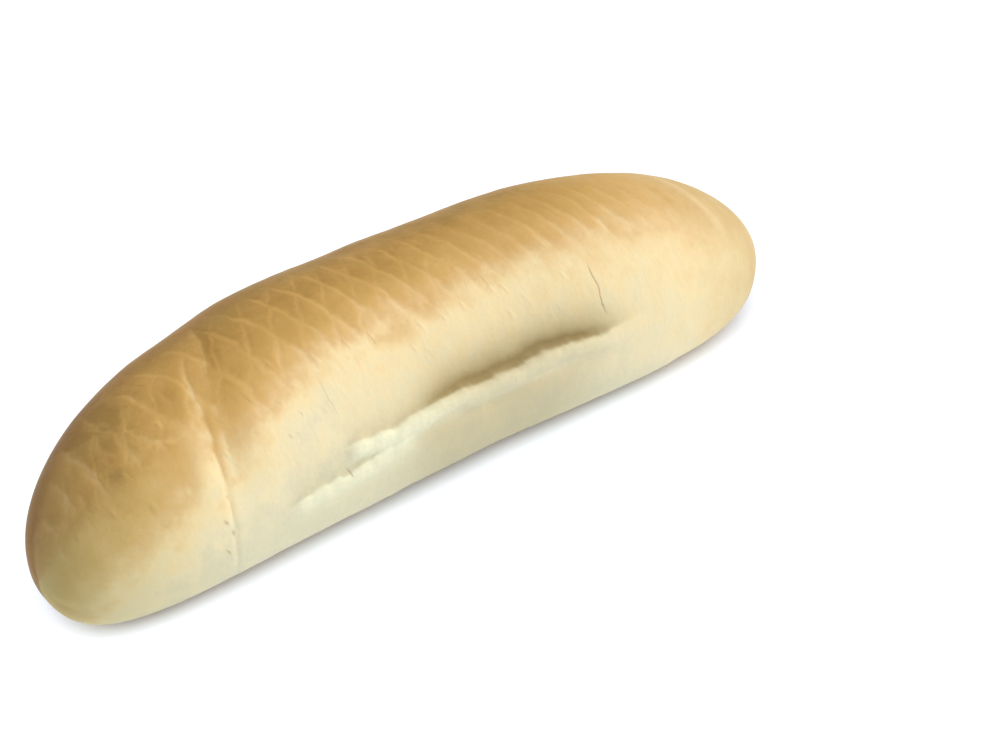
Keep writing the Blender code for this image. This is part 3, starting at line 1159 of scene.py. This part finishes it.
def near_end_skin(skin):
    """The wrinkles between the near end's cells, the cells' tones, and the small flakes."""
    tree, along, down, angle = skin.tree, skin.along, skin.down, skin.angle
    by_wobble, by_specks, by_patches = CELL_WANDER
    wander = skin.wobble * by_wobble + skin.specks * by_specks + skin.patches * by_patches
    border, tone = skin_cells(tree, along, down, wander)
    wrinkles = bell(border, WRINKLE_HALF_WIDTH) * on_line(skin.patches, WRINKLE_PATCHES)
    everywhere, near_end, lower = WRINKLE_STRENGTH
    stronger = skin.near_end * (past(angle, WRINKLE_MORE) * lower + near_end) + everywhere
    wrinkles = wrinkles * between(angle, *WRINKLE_SPAN) * stronger
    cells = tone * skin.near_end * between(angle, *CELL_SPAN) * limited(border * CELL_BORDER)
    flaked = flakes(tree, along, down, skin.specks) * between(angle, *FLAKE_SPAN)
    flaked = flaked * before(along, FLAKE_ENDS) * on_line(skin.browned, FLAKE_BROWNED)
    return wrinkles, cells, flaked


def crease_tones(skin):
    """How much paler the crease makes the crust, less a painted shadow beside its left lip and
    painted shade in its tail line; its pale lips; and its tail line.
    """
    off, gap, angle = skin.off, skin.gap, skin.angle
    even, by_patches, by_streaks = LIP_PINCHED
    pinch = limited(skin.patches * by_patches + skin.streaks * by_streaks + even)
    left, right = crease_edges(off, gap, angle)
    upper = before(angle, CREASE_UPPER) * UPPER_LIP_MORE + 1.0
    lips = (left + right * upper) * pinch
    least, lower = LIP_BAKE
    paler = lips * (past(angle, LIP_PALER) * lower + least)
    # The second of these rows is a painted shadow just right of the left lip's edge.
    for row in BESIDE_CREASE:
        paler = paler + by_crease(off + gap, angle, row)
    paler = paler + by_crease(off / (gap + IN_CREASE_WIDER), angle, IN_CREASE)
    paler = paler + by_crease(off, angle, RIGHT_OF_CREASE)
    # The tail line is darker: painted shade in its groove.
    tail = by_crease(off, angle, TAIL_LINE) * on_line(pinch, TAIL_LINE_PINCHED)
    return paler - tail * TAIL_LINE_SHADE, lips, tail


def crust_colour(skin, bake, lips):
    """The crust's colour from how browned it is, with the tones of its ends and its crown; at the
    near end and on the crown's back slope these are partly browner crust, partly painted shade.
    """
    tree, along, angle = skin.tree, skin.along, skin.angle
    crust = colour_ramp(tree, bake, BAKE_COLOURS)
    # The near end's tones: partly browner crust, partly painted shade.
    near_brown_and_shade = painted(tree, past(angle, NEAR_TONES_CHANGE), *NEAR_END_BROWN_AND_SHADE)
    near_brown_and_shade = painted(tree, before(angle, NEAR_TOP), near_brown_and_shade, NEAR_TOP_BROWN_AND_SHADE)
    start, length = NEAR_END_SHARE
    crust = painted(tree, limited((start - along) / length), crust, near_brown_and_shade)
    # The crown's back slope in the near half: partly browner crust, partly painted shade.
    top = before(angle, TOP_TONE_ENDS) * past(angle, TOP_FROM) * before(along, TOP_TONE_ALONG)
    crust = painted(tree, top * TOP_TONE_SHARE, crust, TOP_BROWN_AND_SHADE)
    start, length = FAR_END_SHARE
    crust = painted(tree, limited((along - start) / length), crust, FAR_END_TONE)
    hue = skin.uneven("hue")
    browned = limited(skin.browned * HUE_BROWNED)
    for way, share, tone in zip((1.0, -1.0), HUE_SHARES, (GREENER_TONE, REDDER_TONE)):
        crust = painted(tree, limited(hue * (way * HUE_SPREAD)) * browned * share, crust, tone)
    least, more = LIP_SHARE
    return painted(tree, lips * (past(angle, LIP_SHARE_GROWS) * more + least), crust, LIP_TONE)


def torn_colour(skin, crust):
    """The crust with painted shade above the tears, on the lower flank and beside the crease, and
    the open crumb, darker further along with painted shade.
    """
    tree, along, angle = skin.tree, skin.along, skin.angle
    by_specks, by_streaks = EDGE_RAGGED
    ragged = skin.specks * by_specks + skin.streaks * by_streaks
    bared = 0.0
    shade_above_edge = 0.0
    for beyond, here, row in zip(skin.beyond_tears, skin.torn_here, TEARS):
        depth, _, deepens = row[3]
        _, width, softness = row[4]
        edge = rise(beyond + ragged, EDGE_SOFT)
        bared = bared + edge * rise(width * EDGE_LOWER - beyond - ragged, softness) * here
        shade = falling(beyond, EDGE_SHADE_REACH) * before(beyond, EDGE_SHADE_ENDS)
        shade_above_edge = shade_above_edge + shade * here * depth * tear_deeper(along, deepens)
    # Painted shade in the hollow above each tear.
    crust = painted(tree, limited(shade_above_edge * EDGE_SHADE_SHARE), crust, EDGE_SHADE_TONE)
    # Painted shade on the lower flank below the tears and in the hollow right of the crease.
    start, end, from_angle, most = SHADED_FLANK
    painted_shade = past(along, start) * before(along, end) * past(angle, from_angle) * most
    *place, most = SHADE_BY_CREASE
    painted_shade = painted_shade + spot(along, angle, *place) * most
    crust = painted(tree, painted_shade, crust, SHADE_TONE)
    # The open crumb, darker further along the roll: painted shade.
    crumb = painted(tree, past(along, CRUMB_SHADED_FROM), *CRUMB_AND_SHADED_CRUMB)
    return painted(tree, limited(bared * CRUMB_SHARE), crust, crumb), bared


def crust_material():
    """Baked crust: golden over the crown, cream on the flanks, toasted under the foot."""
    material = bpy.data.materials.new("crust")
    material.use_nodes = True
    tree = material.node_tree
    shader = tree.nodes["Principled BSDF"]
    skin = Skin(tree)

    patchy = in_fringe(skin, PATCH_BAKE) + skin.near_end * NEAR_PATCH_BAKE
    bake = skin.browned + skin.patches * patchy + skin.specks * SPECK_BAKE
    bake, lines = net_bake(skin, bake)
    bake = limited(bake + blotch_bake(skin))
    wrinkles, cells, flaked = near_end_skin(skin)
    bake = bake - reckon("MAXIMUM", wrinkles * WRINKLE_BAKE, skin.marks * MARK_BAKE)
    bake = bake + cells * CELL_BAKE - flaked * FLAKE_BAKE
    paler, lips, tail = crease_tones(skin)
    far_ridge = ridge(ridge_off(skin.along, skin.angle), skin.angle)
    bake = limited(bake - paler - far_ridge * RIDGE_BAKE)

    crust = crust_colour(skin, bake, lips)
    crust, bared = torn_colour(skin, crust)
    # Painted shade in the cracks and in the crease's tail line.
    by_crack, by_tail = CRACK_SHADE_SHARE
    crust = painted(tree, limited(skin.crack * by_crack + tail * by_tail), crust, CRACK_SHADE_TONE)
    by_height, by_patches = TOAST_SHARE
    under = limited((TOAST_HEIGHT - skin.height) * by_height + skin.patches * by_patches)
    feed(painted(tree, under, crust, TOAST), shader.inputs["Base Color"])

    plain, by_brown, by_crumb, by_specks = ROUGHNESS
    rough = skin.browned * by_brown + bared * by_crumb + skin.specks * by_specks + plain
    fed(shader, dict(SOFT_SURFACE, Roughness=limited(rough)))

    plain, on_crumb = SPECK_PROUD
    proud = skin.uneven("grain") + skin.specks * (bared * on_crumb + plain)
    proud = proud + skin.streaks * in_fringe(skin, STREAK_PROUD) + flaked * FLAKE_PROUD
    proud = proud - lines * LINE_DEEP - wrinkles * WRINKLE_DEEP
    proud = proud - skin.crack * CRACK_DEEP - tail * TAIL_LINE_DEEP
    bump = tree.nodes.new("ShaderNodeBump")
    fed(bump, {"Strength": BUMP_STRENGTH, "Distance": MM, "Height": proud})
    feed(bump.outputs["Normal"], shader.inputs["Normal"])
    return material


def plain_floor():
    """A plain pale floor under the roll."""
    half = 2.0
    corners = [(-half, -half, 0.0), (half, -half, 0.0), (half, half, 0.0), (-half, half, 0.0)]
    mesh = bpy.data.meshes.new("floor")
    mesh.from_pydata([Vector(corner) for corner in corners], [], [(0, 1, 2, 3)])
    material = bpy.data.materials.new("floor")
    material.use_nodes = True
    shader = material.node_tree.nodes["Principled BSDF"]
    fed(shader, {"Base Color": daylight(FLOOR_WHITE), **FLOOR_SURFACE})
    mesh.materials.append(material)
    floor = bpy.data.objects.new("floor", mesh)
    bpy.context.scene.collection.objects.link(floor)
    return floor


def view_axes():
    """The camera's right, up and forward directions."""
    yaw = math.radians(VIEW_YAW)
    tilt = math.radians(VIEW_TILT)
    right = Vector((math.cos(yaw), -math.sin(yaw), 0.0))
    level = math.cos(tilt)
    forward = Vector((math.sin(yaw) * level, math.cos(yaw) * level, -math.sin(tilt)))
    return right, right.cross(forward), forward


def photo_camera():
    """The camera at the photograph's place, with the photograph's lens."""
    right, up, forward = view_axes()
    width, height = FRAME_PIXELS
    focal_pixels = PIXELS_PER_MM * VIEW_DISTANCE
    across = (AIM_PIXEL[0] - 0.5 * width) / PIXELS_PER_MM
    above = (0.5 * height - AIM_PIXEL[1]) / PIXELS_PER_MM
    place = Vector((0.0, 0.0, AIM_HEIGHT)) - forward * VIEW_DISTANCE - right * across - up * above
    data = bpy.data.cameras.new("camera")
    data.sensor_width = SENSOR
    data.lens = focal_pixels * SENSOR / width
    data.clip_start = 0.01
    camera = bpy.data.objects.new("camera", data)
    turn = Matrix((right, up, -forward)).transposed().to_4x4()
    camera.matrix_world = Matrix.Translation(place * MM) @ turn
    bpy.context.scene.collection.objects.link(camera)
    bpy.context.scene.camera = camera


def lamp_for(lit, name, light, colour, softness, side, height):
    """A soft lamp of parallel light that lights one object."""
    right, _, forward = view_axes()
    towards = -Vector((forward.x, forward.y, 0.0)).normalized()
    side = math.radians(side)
    height = math.radians(height)
    level = towards * math.cos(side) + right * math.sin(side)
    from_where = level * math.cos(height) + Vector((0.0, 0.0, 1.0)) * math.sin(height)
    data = bpy.data.lights.new(name, "SUN")
    data.color = colour
    data.energy = light * math.pi
    data.angle = math.radians(softness)
    lamp = bpy.data.objects.new(name, data)
    lamp.rotation_mode = "QUATERNION"
    lamp.rotation_quaternion = from_where.to_track_quat("Z", "Y")
    bpy.context.scene.collection.objects.link(lamp)
    receivers = bpy.data.collections.new(name + "_lights")
    receivers.objects.link(lit)
    lamp.light_linking.receiver_collection = receivers


def studio(roll, floor):
    """A bright even room with a large soft lamp to the right and one over the floor."""
    world = bpy.data.worlds.new("studio")
    world.use_nodes = True
    background = world.node_tree.nodes["Background"]
    fed(background, {"Color": (*SKY_COLOUR, 1.0), "Strength": SKY_LIGHT})
    bpy.context.scene.world = world
    lamp_for(roll, "lamp", *LAMP)
    lamp_for(floor, "floor_lamp", *FLOOR_LAMP)
    bpy.context.scene.view_settings.view_transform = "Standard"


crust = make_skin(crust_material())
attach(crust, "root")
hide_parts("finger_roll")
photo_camera()
studio(crust, plain_floor())
